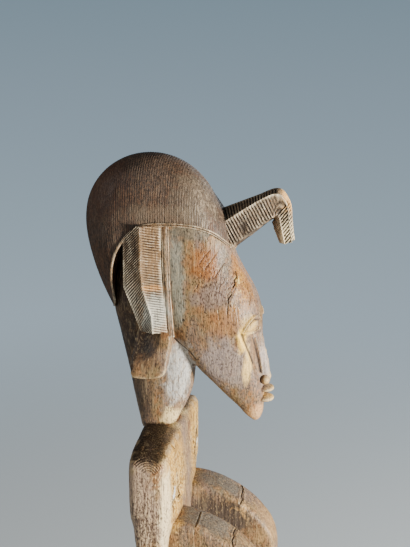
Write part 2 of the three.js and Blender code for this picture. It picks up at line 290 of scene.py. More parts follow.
def hull(corners):
    """The flat-sided form that just holds all the corners."""
    bm = started()
    for corner in corners:
        bm.verts.new(at(*corner))
    bmesh.ops.convex_hull(bm, input=bm.verts)
    return bm


def wobble(points, size, seed):
    """Soft noise from -1 to 1, with features about size mm wide. Each seed takes it elsewhere."""
    offset = Vector((seed * 17.3, seed * 5.1, seed * 9.7))
    scale = 1 / (size * MM)
    return np.array([noise.noise(Vector(p) * scale + offset) for p in points])


def weathered(bm, amount, seed):
    """The slight unevenness that adze, knife and long handling leave."""
    bm.normal_update()
    points = [v.co for v in bm.verts]
    broad, fine = 17, 6
    push = amount * (wobble(points, broad, seed) + 0.5 * wobble(points, fine, seed + 1))
    for v, out in zip(bm.verts, push):
        v.co += v.normal * (out * MM)
    return bm


def of_finish(bm, finish):
    for face in bm.faces:
        face.material_index = finish
    return bm


def shown(bm, name, materials=(None, None, None)):
    """The bmesh as an object in the scene, with its materials or an empty slot for each finish."""
    mesh = bpy.data.meshes.new(name)
    bm.to_mesh(mesh)
    bm.free()
    for material in materials:
        mesh.materials.append(material)
    item = bpy.data.objects.new(name, mesh)
    scene.collection.objects.link(item)
    return item


def settled(item):
    """The object's mesh with its modifiers worked in, as a bmesh. The object goes."""
    graph = bpy.context.evaluated_depsgraph_get()
    mesh = bpy.data.meshes.new_from_object(item.evaluated_get(graph))
    bm = bmesh.new()
    bm.from_mesh(mesh)
    bpy.data.meshes.remove(mesh)
    bpy.data.objects.remove(item)
    return bm


def combined(first, other, operation):
    block, tool = shown(first, "block"), shown(other, "tool")
    step = block.modifiers.new("combine", "BOOLEAN")
    step.operation = operation
    step.solver = "MANIFOLD"
    step.object = tool
    bm = settled(block)
    bpy.data.objects.remove(tool)
    return bm


def joined(parts):
    whole = parts[0]
    for part in parts[1:]:
        whole = combined(whole, part, "UNION")
    return whole


def blended(parts, grain, passes):
    """Parts melted into one another, with the soft joins that a knife and use leave."""
    whole = started()
    for part in parts:
        mesh = bpy.data.meshes.new("part")
        part.to_mesh(mesh)
        part.free()
        whole.from_mesh(mesh)
        bpy.data.meshes.remove(mesh)
    item = shown(whole, "blend")
    step = item.modifiers.new("melt", "REMESH")
    step.mode = "VOXEL"
    step.voxel_size = grain * MM
    bm = noted(settled(item))
    soften = dict(factor=0.5, use_axis_x=True, use_axis_y=True, use_axis_z=True)
    for _ in range(passes):
        bmesh.ops.smooth_vert(bm, verts=bm.verts, **soften)
    return bm


# Strokes: grooves, ridges, scars and cracks that follow a path over a finished surface

def gaps(points, line, reach):
    """How far each point is from a line of straight runs, in mm. Beyond the reach it is infinite."""
    low = line.min(axis=0) - reach * MM
    high = line.max(axis=0) + reach * MM
    nearby = np.flatnonzero(np.all((points > low) & (points < high), axis=1))
    close = points[nearby]
    nearest = np.full(len(close), np.inf)
    for start, end in zip(line, line[1:]):
        along = end - start
        share = np.clip((close - start) @ along / (along @ along), 0, 1)
        away = close - start - share[:, None] * along
        nearest = np.minimum(nearest, np.linalg.norm(away, axis=1) / MM)
    found = np.full(len(points), np.inf)
    found[nearby] = np.where(nearest < reach, nearest, np.inf)
    return found


def laid(tree, path, eye):
    """A path carried along the lines of sight from the eye on to the surface, in short steps."""
    corners = at(*np.transpose(path))
    marks = running(np.linalg.norm(np.diff(corners, axis=0), axis=1))
    steps = max(int(marks[-1] / MM), 2)
    keys = np.linspace(0, marks[-1], steps + 1)
    spots = np.stack([np.interp(keys, marks, corners[:, axis]) for axis in range(3)], axis=-1)
    found = [tree.ray_cast(eye, Vector(spot) - eye)[0] for spot in spots]
    return np.array([spot for spot in found if spot is not None])


def engraved(bm, strokes):
    """Cuts strokes into a surface. Each is a half width and a depth in mm, an eye and the path that it
    sees; a negative depth raises a ridge. The surface is first divided as finely as the strokes need."""
    tree = BVHTree.FromBMesh(bm)
    lines = [(width, depth, laid(tree, path, eye)) for width, depth, eye, path in strokes]
    spread, passes = 2.6, 3
    for _ in range(passes):
        verts = bm.verts[:]
        points = places(verts)
        finest = np.full(len(verts), np.inf)
        for width, _, line in lines:
            near = gaps(points, line, spread * width) < np.inf
            finest[near] = np.minimum(finest[near], width)
        coarse = {}
        for i in np.flatnonzero(finest < np.inf):
            for edge in verts[i].link_edges:
                if edge.calc_length() > finest[i] * MM:
                    coarse[edge] = True
        if coarse:
            bmesh.ops.subdivide_edges(bm, edges=list(coarse), cuts=1, use_grid_fill=True)
    bm.normal_update()
    cut_note = bm.verts.layers.float["cut"]
    verts = bm.verts[:]
    points = places(verts)
    pushes = np.zeros(len(verts))
    deepest = np.zeros(len(verts))
    for width, depth, line in lines:
        push = depth * np.exp(-((gaps(points, line, spread * width) / width) ** 2))
        pushes += push
        deepest = np.maximum(deepest, push)
    for i in np.flatnonzero(pushes):
        verts[i].co -= verts[i].normal * (pushes[i] * MM)
        verts[i][cut_note] += deepest[i]
    return bm


def seen(table, side=1):
    """Strokes as the camera sees them, from rows of width, depth, then forward places and heights on her
    middle plane. Side 1 is the side towards the camera, and -1 does the same on her other side."""
    eye = viewpoint()
    eye.x *= side
    return [(width, depth, eye, [(0, *spot) for spot in path]) for width, depth, *path in table]


# Hair

DOME_SLICES = [
    [-61, 475, 3],
    [-57.5, 477, 12],
    [-51, 484, 20],
    [-42.5, 506, 26],
    [-33, 524, 28.5],
    [-21, 538, 30],
    [-8, 547, 30.5],
    [10, 549, 30.5],
    [30, 548, 29],
    [45, 543, 24.5],
    [53, 535.5, 18],
    [56.5, 529.5, 10],
    [58.5, 526.5, 4],
]


def dome_top(forward):
    """The dome's outline from the side: a circle with a straighter run down to the forehead."""
    reach = np.minimum(np.abs(forward - DOME_FORWARD), DOME_RADIUS)
    circle = DOME_CENTRE + np.sqrt(DOME_RADIUS**2 - reach**2)
    run_from, through_forward, through_height, fall = 36, 49.5, 559, 1.36
    run = through_height - (forward - through_forward) * fall
    return np.where(forward > run_from, np.maximum(circle, run), circle)


def nape_lean(z):
    """Below its centre the back of the dome leans in towards the nape."""
    nape_in, nape_drop, curve = 22, 71, 1.7
    return nape_in * (np.clip(DOME_CENTRE - z, 0, None) / nape_drop) ** curve


def hair_dome():
    """The dome of hair in upright slices, at even steps along its side, scored with fine uneven lines. Few
    of its points go to the flat underside, which hardly shows."""
    slices = np.linspace(DOME_SLICES[0][0], DOME_SLICES[-1][0], 2000)
    length = running(np.hypot(np.diff(slices), np.diff(through(DOME_SLICES, slices, 2))))
    points_per_line, squareness = 4, 2.3
    columns = int(length[-1] / HAIR_LINE_SPACING * points_per_line)

    def place(turn, run):
        u, v = ring(np.interp(turn, [0, 0.07, 0.93, 1], [0, 0.25, 0.75, 1]))
        piece = np.interp(run * length[-1], length, slices)
        rim = through(DOME_SLICES, piece, 1)
        half = through(DOME_SLICES, piece, 2)
        top = np.maximum(dome_top(piece), rim + 1)
        underside = half / 8
        z = rim + np.where(v > 0, (top - rim) * squared(v, squareness), underside * v)
        return at(half * squared(u, squareness), piece + nape_lean(z), z)

    def lines(turn, run, points):
        sway = 0.32 * wobble(points, 22, 1) + 0.18 * wobble(points, 6, 2)
        phase = run * length[-1] / HAIR_LINE_SPACING + sway
        groove = (0.5 + 0.5 * np.cos(2 * np.pi * phase)) ** 1.4
        shallowest, usual, deepest = 0.04, 0.2, 0.5
        return groove * np.clip(usual + 0.25 * wobble(points, 7, 3), shallowest, deepest)

    return of_finish(carve(tube(44, columns, place), lines), HAIR)


def rim_band():
    """The raised line along the hair's lower edge: fine at the nape, wide and double at the forehead."""
    rows = [
        [i, half, piece + float(nape_lean(z)), z]
        for i, (piece, z, half) in enumerate(DOME_SLICES)
    ]
    last = len(rows) - 1
    nudge, sunk, line_width = 0.01, 0.2, 0.25

    def place(turn, run):
        u, v = ring(turn)
        key = run * last
        after, before = np.minimum(key + nudge, last), np.maximum(key - nudge, 0)
        ahead_forward = through(rows, after, 2) - through(rows, before, 2)
        ahead_up = through(rows, after, 3) - through(rows, before, 3)
        size = np.hypot(ahead_forward, ahead_up)
        high = np.interp(run, [0, 0.08, 0.4, 0.6, 1], [0.5, 0.8, 1.1, 1.6, 1.3]) * u
        proud = np.interp(run, [0, 0.1, 0.4, 1], [0.5, 1, 1.3, 1.3]) * squared(v, 3)
        return at(
            -(through(rows, key, 1) - sunk) - proud,
            through(rows, key, 2) - ahead_up / size * high,
            through(rows, key, 3) + ahead_forward / size * high,
        )

    def double(turn, run, points):
        u, v = ring(turn)
        groove = np.exp(-((u / line_width) ** 2)) * np.interp(run, [0.3, 0.55], [0, 0.5])
        return np.where(v > 0, groove, 0)

    return of_finish(carve(tube(16, 120, place), double), PLAIT)


# Plaits

# Each row is a place on the plait's upper ridge, the place across from it on the underside, the half
# width, and how far down the upper and the lower side edges lie.
FRONT_PLAIT = [
    [30, 549.3, 49.3, 516.7, 12, 0.3, 0.88],
    [51, 558.2, 66.8, 531, 11.8, 0.28, 0.88],
    [80, 570, 90.5, 550.5, 11, 0.14, 0.88],
    [90, 574.3, 90.8, 550.2, 10.5, 0.12, 0.86],
    [96, 574, 90.8, 549.8, 10, 0.12, 0.8],
    [100.2, 569.5, 90, 549.3, 9.8, 0.12, 0.7],
    [103.5, 562.5, 89, 548.6, 9.5, 0.12, 0.6],
    [104.7, 553, 88.6, 547.2, 9.5, 0.12, 0.54],
    [105.6, 544, 92, 539, 9.2, 0.12, 0.56],
    [107, 534.5, 95.1, 531.4, 9, 0.12, 0.6],
]

# Each row is a height, then the forward place of the back edge, the ridge and the front edge.
SIDE_PLAIT = [
    [463, -10, 1, 11.5],
    [477, -15, 0, 10.5],
    [498, -23, -6.5, 8],
    [515, -23, -8, 7],
    [552, -22.5, -8, 7],
]


def facets(turn, count):
    """The facet that each point of a flat-sided tube is on, and its share of the way across it."""
    facet = np.minimum((turn * count).astype(int), count - 1)
    return facet, turn * count - facet


def around_corners(turn, forwards, heights, acrosses):
    """Points on a flat-sided section, whose corners are given in turn and close on the first."""
    i, share = facets(turn, len(forwards) - 1)
    pick = np.arange(len(turn))

    def between(values):
        values = np.stack([np.broadcast_to(value, turn.shape) for value in values])
        return values[i, pick] * (1 - share) + values[i + 1, pick] * share

    return at(between(acrosses), between(forwards), between(heights))


def cuts(count, share, points, depth, seed):
    """Narrow cuts across a facet, one for each whole number in count, that stop short of its edges."""
    uneven = count + 0.1 * wobble(points, 5, seed)
    sharpness, border = 2.2, 0.12
    groove = np.abs(np.cos(np.pi * uneven)) ** sharpness
    margin = np.clip(np.minimum(share, 1 - share) / border, 0, 1)
    return depth * groove * margin * (1 + 0.35 * wobble(points, 8, seed + 1))


def front_plait():
    """The six-sided plait that juts from the forehead and hooks down. Two straight sets of cuts meet on a
    slanting line at the bend, worn away on the outside. Its places and directions are forward and up."""
    table = np.array(FRONT_PLAIT)
    middles = (table[:, 0:2] + table[:, 2:4]) / 2
    length = running(np.hypot(*np.diff(middles, axis=0).T))
    rows = np.column_stack([length / length[-1], table])
    bend, beyond = (91, 552.8), (0.72, -0.69)
    jutting, jutting_spacing = (0.88, 0.47), 2.35
    hooked, hooked_spacing = (0.8, -0.6), 2
    worn_middle, worn_radius = (92, 553), 14
    knock, knock_size = (69, 545), (4, 7)

    def place(turn, run):
        f0, z0, f1, z1, half, upper, lower = (through(rows, run, c) for c in range(1, 8))
        downs = [1, lower, upper, 0, upper, lower, 1]
        sides = [0, 1, 1, 0, -1, -1, 0]
        return around_corners(
            turn,
            [f0 + (f1 - f0) * down for down in downs],
            [z0 + (z1 - z0) * down for down in downs],
            [side * half for side in sides],
        )

    def hatch(turn, run, points):
        facet, share = facets(turn, 6)
        side = (facet == 1) | (facet == 4)
        under = (facet == 0) | (facet == 5)
        profile = np.stack([LOG_CENTRE - points[:, 1] / MM, points[:, 2] / MM], axis=-1)
        past_bend = (profile - bend) @ beyond
        straight_cuts = np.where(
            past_bend > 0,
            cuts(profile @ hooked / hooked_spacing, share, points, 0.8, 11),
            cuts(profile @ jutting / jutting_spacing, share, points, 0.75, 13),
        )
        mitre = 0.5 * np.exp(-((past_bend / 0.6) ** 2)) * side
        from_worn = profile - worn_middle
        outermost = np.all(from_worn > (0, 3), axis=1)
        worn = np.clip((np.hypot(*from_worn.T) - worn_radius) / 3, 0, 1) * outermost
        damage = np.exp(-np.sum(((profile - knock) / knock_size) ** 2, axis=1))
        knocks = 0.5 * damage * (1 + 1.6 * wobble(points, 2.4, 15)) * side
        kept = (1 - 0.85 * worn) * (1 - 0.6 * damage)
        before_hook = (profile[:, 0] > 62) & (profile[:, 0] < 90)
        chipped = 0.4 * (1 + wobble(points, 4, 16)) * before_hook
        return np.where(under, chipped, straight_cuts * kept + mitre + knocks)

    return of_finish(carve(tube(42, 196, place), hatch), PLAIT)


def side_plait():
    """The flat plait beside the face: a ridge down its middle, cut in a herringbone, and bent in below."""
    inside, edge, ridge = 10, 30.5, 36
    foot, top = 463, 547.8
    fall_back, fall_front = 15, 3
    low, high = foot - 14, top + 4.2
    heights, backs, ridges, fronts = np.transpose(SIDE_PLAIT)

    def place(turn, run):
        z = low + (high - low) * run
        back_z, front_z = z - fall_back, z - fall_front
        back = np.interp(back_z, heights, backs)
        middle = np.interp(z, heights, ridges)
        front = np.interp(front_z, heights, fronts)
        return around_corners(
            turn,
            [back, back, middle, front, front, back],
            [back_z, back_z, z, front_z, front_z, back_z],
            [-inside, -edge, -ridge, -edge, -inside, -inside],
        )

    def hatch(turn, run, points):
        facet, share = facets(turn, 5)
        outer = (facet == 1) | (facet == 2)
        count = run * (high - low) / PLAIT_LINE_SPACING
        return np.where(outer, cuts(count, share, points, 0.55, 21), 0)

    plait = carve(tube(35, 216, place), hatch)
    for end, outward in ((foot, -1), (top, 1)):
        bmesh.ops.bisect_plane(
            plait,
            geom=plait.verts[:] + plait.edges[:] + plait.faces[:],
            plane_co=at(0, 0, end),
            plane_no=(0, 0, outward),
            clear_outer=True,
        )
    bmesh.ops.holes_fill(plait, edges=plait.edges, sides=0)
    return of_finish(plait, PLAIT)


def cheek_band():
    """The flat band with two scored lines that runs down in front of the side plait."""
    rows = [[0, 13.8, 459], [0.5, 11, 505], [1, 10.2, 549]]

    def place(turn, run):
        u, v = ring(turn)
        forward, z = through(rows, run, 1), through(rows, run, 2)
        return at(-28 - 2.4 * squared(v, 4), forward + 2.8 * squared(u, 4), z)

    def scored(turn, run, points):
        u, v = ring(turn)
        lines = np.exp(-(((np.abs(u) - 0.42) / 0.16) ** 2))
        return np.where(v > 0, 0.6 * lines, 0)

    return of_finish(carve(tube(24, 60, place), scored), PLAIT)


# Head

# Strokes on the head: width, depth, then forward places and heights as the camera sees them
EYE_STROKES = [
    [3, -0.8, (70.5, 458), (74.5, 462), (77.5, 465)],
    [0.8, 0.5, (68, 456), (71.5, 462), (76, 467.5), (79.5, 468), (80.5, 464)],
    [0.7, 0.3, (69.5, 456.3), (74, 457.5), (80, 462)],
    [0.9, -1.2, (66.5, 455), (69, 459.5), (72.5, 465.5), (76, 470), (79, 471), (81, 468)],
    [0.9, -1.1, (69.5, 454.5), (74, 456), (78, 458.5), (80.5, 461)],
]
NOSE_STROKES = [
    [0.8, -0.9, (77.5, 452), (79.3, 445.2), (81.5, 435), (83.7, 423)],
    [0.9, 0.6, (75.6, 452), (77.4, 445), (79.6, 435), (82, 423)],
]
CHEEK_RIDGE = [
    [1.7, -0.9, (62.5, 454.5), (67.5, 442), (73.4, 428.4), (79, 416.5)],
    [1.3, 0.7, (66.5, 454), (71, 443), (76, 430.5)],
]
TEMPLE_SCARS = [
    [2.4, -0.5, (62, 503), (61, 497), (57.5, 486), (55.5, 481)],
    [0.45, 1, (61, 507), (61.5, 502), (59.5, 499), (60.5, 496.5), (58.5, 493.5)],
    [0.4, 0.8, (57.5, 487.5), (55.5, 484.5), (54.8, 482.5)],
    [0.6, -0.5, (62.8, 503), (62, 495), (59.5, 487), (57.5, 481.5)],
]
JAW_LINE = [[0.9, 0.5, (7.5, 450.5), (9.5, 448.5), (17.5, 441.5), (24, 436), (28.5, 430)]]
CHEEK_LINES = [
    [0.45, 0.38, (40.5, 523.5), (36, 518.5), (31.5, 511.5)],
    [0.45, 0.38, (46, 521.5), (40.5, 514), (36, 507.5)],
    [0.45, 0.38, (51.5, 513), (47.5, 507), (43.5, 500.5)],
]
OLD_CHECKS = [
    [0.4, 0.5, (54.5, 487), (54.8, 478.5), (54.2, 471)],
    [0.4, 0.4, (47, 473.5), (47.5, 465)],
    [0.4, 0.4, (30, 494), (29, 491)],
    [0.4, 0.5, (70.5, 494), (73, 487), (72.5, 479.5)],
    [0.6, 0.8, (17.5, 464.3), (17.6, 463)],
    [0.4, 0.6, (9.5, 374.5), (11, 368.5)],
    [0.5, 0.5, (79, 401), (81.5, 402.5)],
]


def head():
    """Neck, skull and the long wedge of the face, melted together and then cut."""
    neck = column([
        [NECK_BASE - 8, 13.9, 12.5, -17.2, 2.8],
        [NECK_BASE, 14.8, 14, -18.5, 2.8],
        [403, 17.5, 25, -23.5, 2.6],
        [428, 19, 28.5, -28, 2.5],
        [452, 21, 32, -33, 2.5],
        [478, 24, 34, -38, 2.5],
        [505, 26, 34, -36, 2.5],
        [540, 22, 28, -24, 2.3],
    ], 64, 60)
    face = column([
        [CHIN, 3, 81, 76.5, 2],
        [387, 8, 84, 70, 2.3],
        [396, 11, 85, 62, 2.5],
        [413, 16, 85, 45, 2.8],
        [430, 20, 83.5, 28.5, 3],
        [447, 24, 82.5, 14, 3],
        [458, 26, 83, 8, 2.9],
        [475, 28, 82, -4, 2.7],
        [490, 29, 78, -12, 2.5],
        [508, 29, 68, -18, 2.4],
        [524, 28.5, 60, -18, 2.5],
        [535, 28, 56.5, -17, 2.8],
        [545, 27, 50, -14, 3],
        [553, 25, 42, -12, 3],
    ], 96, 90)
    skull = ball(32, (25.5, 44, 58), (0, 6, 506))
    for hollow in both_sides(cheek_hollow()):
        face = combined(face, hollow, "DIFFERENCE")
    eyes = both_sides(ball(28, (3.4, 9.5, 5), (15.8, 75.3, 467.5), (-40, 0, -38)))
    whole = weathered(blended([neck, face, skull, nose(), *eyes], HEAD_GRAIN, 2), 0.28, 31)
    on_both = EYE_STROKES + NOSE_STROKES + CHEEK_RIDGE + JAW_LINE + CHEEK_LINES + TEMPLE_SCARS
    return engraved(whole, seen(on_both + OLD_CHECKS) + seen(on_both, -1))


def cheek_hollow():
    """A flat-floored hollow under the eye, so that a ridge bounds the cheek and the nose stands free."""
    floor = [(27, 67.5, 458), (5, 76.5, 466), (9, 82.8, 411), (5.5, 83, 411)]
    clear = 96
    return hull(floor + [(across, clear, z) for across, _, z in floor])


def nose():
    return limb([
        [0, 76, 470, 3, 5],
        [0, 79, 450, 3, 6],
        [0, 82, 432, 4, 7],
        [0, 84, 418, 5.5, 7],
    ], 28, 40, squareness=2.2, closing=0.08)


def nostrils_and_lips():
    wing = ball(20, (4, 4, 4), (4.5, 86.5, 418.5))
    lips = [ball(28, (8, 8.5, 3), (0, 85, z)) for z in (410, 401.5)]
    return [*both_sides(wing), *lips]


def ear():
    """A flake below the plait that flares to a lobe, hollowed from behind so that its front edge stands."""
    outline = [
        (-13, 466), (-16, 455), (-17.5, 446), (-18, 437), (-18, 429), (-16.5, 425.3), (-9, 424.3),
        (1, 425.3), (7, 427), (10.2, 429.3), (11.4, 436), (12.5, 444), (13.5, 451), (14.2, 458),
        (14.2, 466),
    ]
    top, flare, inside, outside = 463, 0.2, 14, 30
    grain, passes = 1.4, 3
    bm = started()
    rim = [bm.verts.new(at(inside + flare * (top - z), forward, z)) for forward, z in outline]
    flake = bm.faces.new(rim)
    grown = bmesh.ops.extrude_face_region(bm, geom=[flake])
    moved = [item for item in grown["geom"] if isinstance(item, bmesh.types.BMVert)]
    bmesh.ops.translate(bm, vec=((outside - inside) * MM, 0, 0), verts=moved)
    bmesh.ops.recalc_face_normals(bm, faces=bm.faces)
    hollow = ball(32, (14, 23, 26), (38, -13.5, 461), (12, -11, 0))
    cupped = combined(bm, hollow, "DIFFERENCE")
    return weathered(blended([cupped], grain, passes), 0.25, 41)


# Body

def trunk():
    return column([
        [SEAT_TOP - 3, 43, 22, -31, 2.4],
        [150, 46, 25, -33, 2.4],
        [174, 40, 27, -26, 2.3],
        [202, 32, 28, -17, 2.2],
        [230, 29, 23, -14, 2.2],
        [262, 37, 20, -13, 2.8],
        [284, 49, 21, -13, 3.6],
        [305, 56, 21.5, -13, 4.5],
        [335, 57, 21.5, -14, 4.5],
        [358, 56, 20, -14, 3.8],
        [SHOULDER_TOP - 5, 48, 17, -12, 3.4],
    ], 64, 60)


def yoke():
    """The straight board of the shoulders, square at its ends, drooping a little to both sides; her left
    shoulder sits further forward and higher."""
    middle = 346
    half = SHOULDER_TOP - middle
    squareness, end_squareness, ease_squareness = 9, 12, 5
    forward, thin_half, added_half = 3, 8, 9
    left_forward, left_higher, droop, narrower = 1.5, 2.5, 7.5, 0.12

    def rounded(reach, squareness):
        return np.clip(1 - np.abs(reach) ** squareness, 0, 1) ** (1 / squareness)

    def place(turn, run):
        v, u = ring(turn)
        reach = np.sin(np.pi * (run - 0.5))
        corner = rounded(reach, end_squareness)
        ease = rounded(reach, ease_squareness)
        narrowing = np.where(v < 0, 1 + narrower * v, 1)
        thickness = thin_half * corner + added_half * ease
        return at(
            SHOULDER_HALF * reach * narrowing,
            forward * ease + left_forward * reach + thickness * squared(u, squareness),
            middle + half * corner * squared(v, squareness) + left_higher * reach - droop * reach**2,
        )

    return tube(64, 72, place)


def arm():
    outer = SHOULDER_HALF
    upper = limb([
        [outer - 13, 3, 352, 12, 15.5],
        [outer - 12, 2.5, 326, 12, 16],
        [outer - 11.5, 2.5, 292, 11.5, 13],
        [outer - 10, 4, 258, 11, 12],
        [outer - 9, 8, 226, 11.5, 12],
        [outer - 11, 24, 199, 11, 11],
        [outer - 16, 45, 183, 9.5, 9.5],
        [outer - 20, 60, 176, 9, 8],
    ], 36, 70, squareness=3, closing=0)
    hand = limb([
        [outer - 19, 54, 177, 8, 7],
        [outer - 22, 68, 172.5, 13, 6.5],
        [outer - 23, 84, 169, 12, 6],
        [outer - 23.5, 97, 160, 10, 5],
    ], 30, 24, squareness=2.6, closing=0.1)
    return [upper, hand]


def leg():
    thigh = limb([
        [22, -6, 151, 19, 17],
        [30, 34, 150, 19, 17],
        [36, 66, 149, 17, 16],
        [38, 92, 147, 14, 15],
    ], 32, 30, closing=0.12)
    shin = limb([
        [38, 78, 158, 14, 15],
        [38, 76, 128, 14.5, 15.5],
        [38, 69, 94, 15, 18],
        [37, 71, 54, 10.5, 12],
        [37, 71, 28, 10.5, 12],
        [37, 71, BASE_THICKNESS - 2, 10, 12],
    ], 32, 40, squareness=2.2)
    foot = limb([
        [37, 58, 23, 10, 8.5],
        [37.5, 72, 24, 11, 9.5],
        [38.5, 90, 21, 14, 7],
        [39, 108, 19, 12, 4.5],
    ], 30, 22, squareness=2.8, closing=0.1)
    return [thigh, shin, foot]


def breast():
    """A long breast curves out from the chest and hangs; its top is flat with an edge on either side."""
    shape = limb([
        [34, 4, 291, 17, 15],
        [34, 20, 292, 17, 16],
        [34, 34, 289, 16.5, 16.5],
        [34, 48, 283.5, 16.5, 16.5],
        [34, 61, 275.5, 16.5, 16],
        [34, 71, 266.5, 16, 15.5],
        [34, 77.5, 257.5, 15, 15.5],
        [34, 82, 245, 13.5, 14],
        [34, 84, 232, 11, 12],
        [34, 84, 220, 8, 8.5],
    ], 48, 60, squareness=6, closing=0.09)
    nipple = limb([
        [34, 84, 224, 4.5, 4.5],
        [34, 84, 210, 3.5, 3.5],
    ], 16, 10, squareness=2, closing=0.3)
    return [shape, nipple]


def stool():
    under = SEAT_TOP - SEAT_THICKNESS
    edge = 5
    seat = turned([
        (0, under),
        (SEAT_RADIUS - edge, under),
        (SEAT_RADIUS, under + edge),
        (SEAT_RADIUS, SEAT_TOP - edge / 2),
        (SEAT_RADIUS - edge / 2, SEAT_TOP),
        (0, SEAT_TOP),
    ], 72, SEAT_FORWARD)
    legs = []
    for degrees in (45, 135, 225, 315):
        a = math.radians(degrees)
        legs.append(limb([
            [reach * math.cos(a), SEAT_FORWARD + reach * math.sin(a), z, radius, radius]
            for reach, z, radius in (
                (35, under + 4, 14), (38, 76, 12), (42, 40, 13.5), (44, BASE_THICKNESS - 2, 14.5),
            )
        ], 28, 20, closing=0))
    return [seat, *legs]


def base():
    edge = 3
    return turned([
        (0, 0),
        (LOG_RADIUS - edge / 2, 0),
        (LOG_RADIUS, edge),
        (LOG_RADIUS, BASE_THICKNESS - edge),
        (LOG_RADIUS - edge, BASE_THICKNESS),
        (0, BASE_THICKNESS),
    ], 96, LOG_CENTRE)


# Strokes on the body: width, depth, then forward places and heights as the camera sees them
CHEST_STROKES = [
    [2.2, -0.9, (17.5, 318), (14.5, 306), (9, 295)],
    [0.8, -1.3, (17.3, 320), (15, 313), (15.5, 306), (11, 299)],
    [0.6, 1.6, (16, 323), (14.5, 316), (12.5, 311.5), (14, 306), (12, 303)],
    [0.5, 1.2, (10.5, 303), (7, 296.5), (5.5, 289)],
    [0.8, -1, (9, 304), (5.5, 297), (3.5, 288)],
    [0.5, 0.5, (19, 364.5), (19.3, 352)],
    [3.4, 1.8, (29, 364), (28, 357), (27, 350)],
    [2.2, -1.2, (27.5, 362), (26.5, 354), (25.5, 347)],
]
LEFT_BREAST_STROKES = [
    [0.4, 0.9, (66.5, 320.5), (69, 316), (67.5, 309), (68.5, 306), (66.5, 301.5)],
    [0.8, -0.7, (68.5, 318), (70.5, 312), (69.5, 308), (70.3, 304)],
    [0.8, -0.5, (64.8, 320), (66.5, 314), (65.5, 307), (65, 302)],
]
RIGHT_BREAST_STROKES = [
    [0.35, 0.5, (32, 290), (30, 283), (28, 278.5), (26.5, 267.5)],
    [0.7, -0.4, (33.5, 290), (31.5, 282), (29.5, 276)],
    [0.4, 0.9, (63.5, 279), (61, 273), (61.8, 270), (60, 266), (61, 259)],
    [0.8, -0.7, (65.5, 277), (63.2, 271), (63.8, 266), (62.8, 260)],
    [0.8, -0.5, (61.5, 278), (59.2, 272), (58.5, 264), (59, 258)],
]


def growth_rings():
    """The log's growth rings stand out as fine arches where the knife rounded her right shoulder."""
    middle, height, taller = -14, 318, 1.25
    width, depth = 0.5, 0.38
    turns = np.radians(np.linspace(35, 140, 8))
    rings = []
    for radius in np.arange(6, 16, 1.9):
        forwards = middle + radius * np.cos(turns)
        heights = height + taller * radius * np.sin(turns)
        rings.append([width, depth, *zip(forwards, heights)])
    return rings


def fingers_and_toes():
    """Grooves seen from above, between the fingers and between the toes."""
    grooves = []
    for side in (-1, 1):
        hand, foot = side * (SHOULDER_HALF - 23), side * 39
        above_hand, above_foot = (Vector(at(middle, 90, 1000)) for middle in (hand, foot))
        for gap in (-5, 0, 5):
            path = [(hand + side * gap, 78, 170), (hand + side * 0.85 * gap, 101, 158)]
            grooves.append((1, 1.6, above_hand, path))
        for gap in (-7, -2.5, 2, 6.5):
            path = [(foot + side * gap, 95, 22), (foot + side * 0.9 * gap, 110, 18)]
            grooves.append((1, 1.4, above_foot, path))
    return grooves


def body():
    navel = ball(20, (6, 6, 6), (0, 26, 200))
    parts = [trunk(), yoke(), navel]
    for part in arm() + leg():
        parts += both_sides(part)
    whole = weathered(blended(parts, BODY_GRAIN, 2), 0.35, 51)
    return engraved(whole, seen(CHEST_STROKES + growth_rings()) + fingers_and_toes())


def breasts():
    left, nipple = breast()
    right = engraved(mirrored(left), seen(RIGHT_BREAST_STROKES))
    left = engraved(left, seen(LEFT_BREAST_STROKES))
    return [weathered(left, 0.3, 61), weathered(right, 0.3, 62), *both_sides(nipple)]


def carved_figure():
    parts = [body(), *breasts(), *stool(), base(), head(), *nostrils_and_lips(), hair_dome()]
    for part in (rim_band(), side_plait(), cheek_band(), ear()):
        parts += both_sides(part)
    parts.append(front_plait())
    return joined(parts)


# Finishes

def node(tree, kind, inputs, output=0, **settings):
    """Adds a shader node with its settings and links, and gives one of its outputs. An input is a value
    or a socket to link from."""
    made = tree.nodes.new("ShaderNode" + kind)
    for name, value in settings.items():
        setattr(made, name, value)
    for name, value in inputs.items():
        if isinstance(value, bpy.types.NodeSocket):
            tree.links.new(value, made.inputs[name])
        else:
            made.inputs[name].default_value = value
    return made.outputs[output]


# The wood's patterns: a size in mm, detail, how much longer they run along the grain, and swirl.
# Real pores and hairline checks are about 0.2 mm wide. They are drawn 1 to 2 mm wide, so that they show.
PATTERNS = {
    "patches": (26, 4, 1.6, 0.8),
    "blotches": (7, 5, 1.5, 0.5),
    "speckle": (1.25, 4, 1.8, 0.3),
    "flakes": (2.6, 5, 2.4, 0.6),
    "streaks": (1.5, 5, 14, 0),
}

# How the edge of a mark breaks up: the pattern, how strongly it cuts in, and what is left out.
BREAKS = {
    "patch": ("blotches", 1.6, -0.8),
    "flaking": ("blotches", 5, -1.7),
    "flecks": ("flakes", 6, -2.2),
    "specks": ("speckle", 6, -2.2),
    "dusting": ("speckle", -6, 3.8),
    "streaked": ("streaks", 6, -2.2),
}

